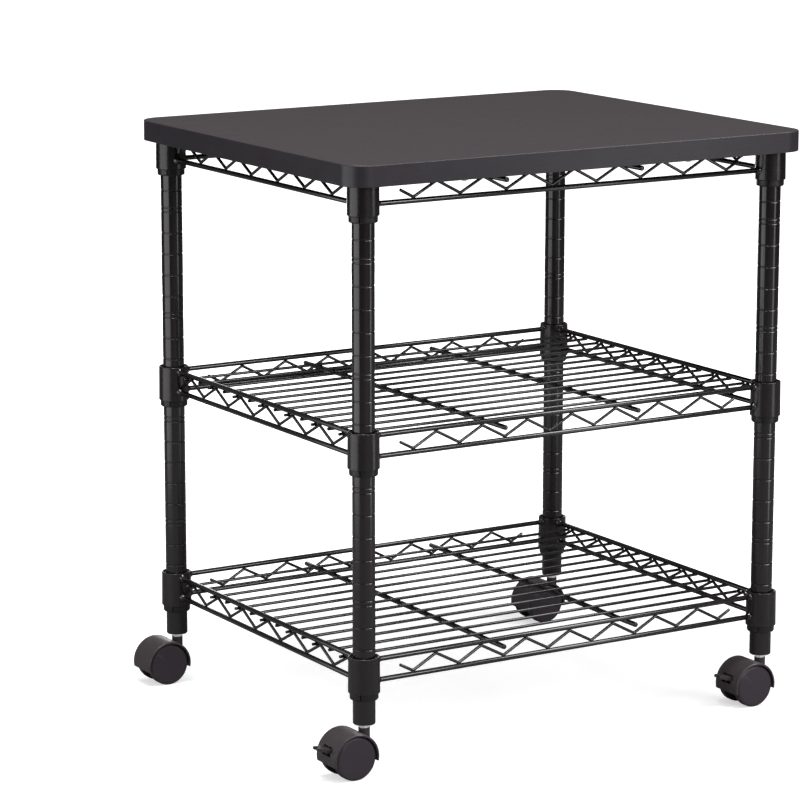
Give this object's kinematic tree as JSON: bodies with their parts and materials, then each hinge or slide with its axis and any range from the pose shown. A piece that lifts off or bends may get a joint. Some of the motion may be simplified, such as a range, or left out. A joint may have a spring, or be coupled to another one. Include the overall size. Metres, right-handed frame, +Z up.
{
  "type": "mobile printer stand",
  "caption": "Open printer stand on twin-wheel casters: laminated board over welded wire shelves held by split sleeves on grooved posts.",
  "frame": {"origin": "on the floor, midway between the four post axes", "axes": "+Z up, +X along the width to the right seen from the front, -Y towards the front"},
  "size_m": [0.6426, 0.508, 0.6858],
  "materials": {
    "board_laminate": "satin charcoal laminate",
    "board_core": "satin",
    "edge_band": "satin",
    "post_coat": "gloss black powder coat",
    "collar_coat": "gloss black powder coat",
    "wire_coat": "gloss black powder coat",
    "sleeve_plastic": "satin",
    "black_plastic": "satin",
    "caster_plastic": "fine matte moulding",
    "wheel_plastic": "fine matte moulding",
    "lever_plastic": "matte",
    "zinc": "bright zinc plating",
    "steel": "turned"
  },
  "bodies": {
    "frame": {"top_panel": "board_laminate", "panel_edge_strips": "board_core", "panel_edge_band": "edge_band", "panel_clips": "black_plastic", "panel_screws": "zinc", "post_front_left": "post_coat", "post_front_right": "post_coat", "post_back_left": "post_coat", "post_back_right": "post_coat", "post_caps": "black_plastic", "caster_sockets": "zinc", "top_shelf_collars": "collar_coat", "top_shelf_rails": "wire_coat", "top_shelf_trusses": "wire_coat", "top_shelf_deck_wires": "wire_coat", "top_shelf_ribs": "wire_coat", "top_shelf_sleeves": "sleeve_plastic", "middle_shelf_sleeves": "sleeve_plastic", "bottom_shelf_sleeves": "sleeve_plastic", "caster_front_left_stem": "zinc", "caster_front_right_stem": "zinc", "caster_back_left_stem": "zinc", "caster_back_right_stem": "zinc"},
    "middle_shelf": {"middle_shelf_collars": "collar_coat", "middle_shelf_rails": "wire_coat", "middle_shelf_trusses": "wire_coat", "middle_shelf_deck_wires": "wire_coat", "middle_shelf_ribs": "wire_coat"},
    "bottom_shelf": {"bottom_shelf_collars": "collar_coat", "bottom_shelf_rails": "wire_coat", "bottom_shelf_trusses": "wire_coat", "bottom_shelf_deck_wires": "wire_coat", "bottom_shelf_ribs": "wire_coat"},
    "caster_front_left": {"caster_front_left_hood": "caster_plastic", "caster_front_left_axle": "steel", "caster_front_left_lever_pin": "steel"},
    "caster_front_left_wheel_front": {"caster_front_left_wheel_front": "wheel_plastic"},
    "caster_front_left_wheel_back": {"caster_front_left_wheel_back": "wheel_plastic"},
    "caster_front_left_brake_lever": {"caster_front_left_brake_lever": "lever_plastic"},
    "caster_front_right": {"caster_front_right_hood": "caster_plastic", "caster_front_right_axle": "steel", "caster_front_right_lever_pin": "steel"},
    "caster_front_right_wheel_front": {"caster_front_right_wheel_front": "wheel_plastic"},
    "caster_front_right_wheel_back": {"caster_front_right_wheel_back": "wheel_plastic"},
    "caster_front_right_brake_lever": {"caster_front_right_brake_lever": "lever_plastic"},
    "caster_back_left": {"caster_back_left_hood": "caster_plastic", "caster_back_left_axle": "steel"},
    "caster_back_left_wheel_front": {"caster_back_left_wheel_front": "wheel_plastic"},
    "caster_back_left_wheel_back": {"caster_back_left_wheel_back": "wheel_plastic"},
    "caster_back_right": {"caster_back_right_hood": "caster_plastic", "caster_back_right_axle": "steel"},
    "caster_back_right_wheel_front": {"caster_back_right_wheel_front": "wheel_plastic"},
    "caster_back_right_wheel_back": {"caster_back_right_wheel_back": "wheel_plastic"}
  },
  "joints": [
    {"name": "middle_shelf_lift", "type": "slide", "parent": "frame", "child": "middle_shelf", "axis": [0, 0, 1], "range_m": [0, 0.2]},
    {"name": "bottom_shelf_lift", "type": "slide", "parent": "frame", "child": "bottom_shelf", "axis": [0, 0, 1], "range_m": [0, 0.2]},
    {"name": "caster_front_left_swivel", "type": "hinge", "parent": "frame", "child": "caster_front_left", "pos_m": [-0.27465, -0.22225, 0.05], "axis": [0, 0, 1], "continuous": true},
    {"name": "caster_front_left_wheel_front_spin", "type": "hinge", "parent": "caster_front_left", "child": "caster_front_left_wheel_front", "pos_m": [-0.29565, -0.23625, 0.025], "axis": [0, 1, 0], "continuous": true},
    {"name": "caster_front_left_wheel_back_spin", "type": "hinge", "parent": "caster_front_left", "child": "caster_front_left_wheel_back", "pos_m": [-0.29565, -0.20825, 0.025], "axis": [0, 1, 0], "continuous": true},
    {"name": "caster_front_left_brake", "type": "hinge", "parent": "caster_front_left", "child": "caster_front_left_brake_lever", "pos_m": [-0.31165, -0.22225, 0.033], "axis": [0, -1, 0], "range_deg": [0, 16]},
    {"name": "caster_front_right_swivel", "type": "hinge", "parent": "frame", "child": "caster_front_right", "pos_m": [0.27465, -0.22225, 0.05], "axis": [0, 0, 1], "continuous": true},
    {"name": "caster_front_right_wheel_front_spin", "type": "hinge", "parent": "caster_front_right", "child": "caster_front_right_wheel_front", "pos_m": [0.25365, -0.23625, 0.025], "axis": [0, 1, 0], "continuous": true},
    {"name": "caster_front_right_wheel_back_spin", "type": "hinge", "parent": "caster_front_right", "child": "caster_front_right_wheel_back", "pos_m": [0.25365, -0.20825, 0.025], "axis": [0, 1, 0], "continuous": true},
    {"name": "caster_front_right_brake", "type": "hinge", "parent": "caster_front_right", "child": "caster_front_right_brake_lever", "pos_m": [0.23765, -0.22225, 0.033], "axis": [0, -1, 0], "range_deg": [0, 16]},
    {"name": "caster_back_left_swivel", "type": "hinge", "parent": "frame", "child": "caster_back_left", "pos_m": [-0.27465, 0.22225, 0.05], "axis": [0, 0, 1], "continuous": true},
    {"name": "caster_back_left_wheel_front_spin", "type": "hinge", "parent": "caster_back_left", "child": "caster_back_left_wheel_front", "pos_m": [-0.29565, 0.20825, 0.025], "axis": [0, 1, 0], "continuous": true},
    {"name": "caster_back_left_wheel_back_spin", "type": "hinge", "parent": "caster_back_left", "child": "caster_back_left_wheel_back", "pos_m": [-0.29565, 0.23625, 0.025], "axis": [0, 1, 0], "continuous": true},
    {"name": "caster_back_right_swivel", "type": "hinge", "parent": "frame", "child": "caster_back_right", "pos_m": [0.27465, 0.22225, 0.05], "axis": [0, 0, 1], "continuous": true},
    {"name": "caster_back_right_wheel_front_spin", "type": "hinge", "parent": "caster_back_right", "child": "caster_back_right_wheel_front", "pos_m": [0.25365, 0.20825, 0.025], "axis": [0, 1, 0], "continuous": true},
    {"name": "caster_back_right_wheel_back_spin", "type": "hinge", "parent": "caster_back_right", "child": "caster_back_right_wheel_back", "pos_m": [0.25365, 0.23625, 0.025], "axis": [0, 1, 0], "continuous": true}
  ]
}
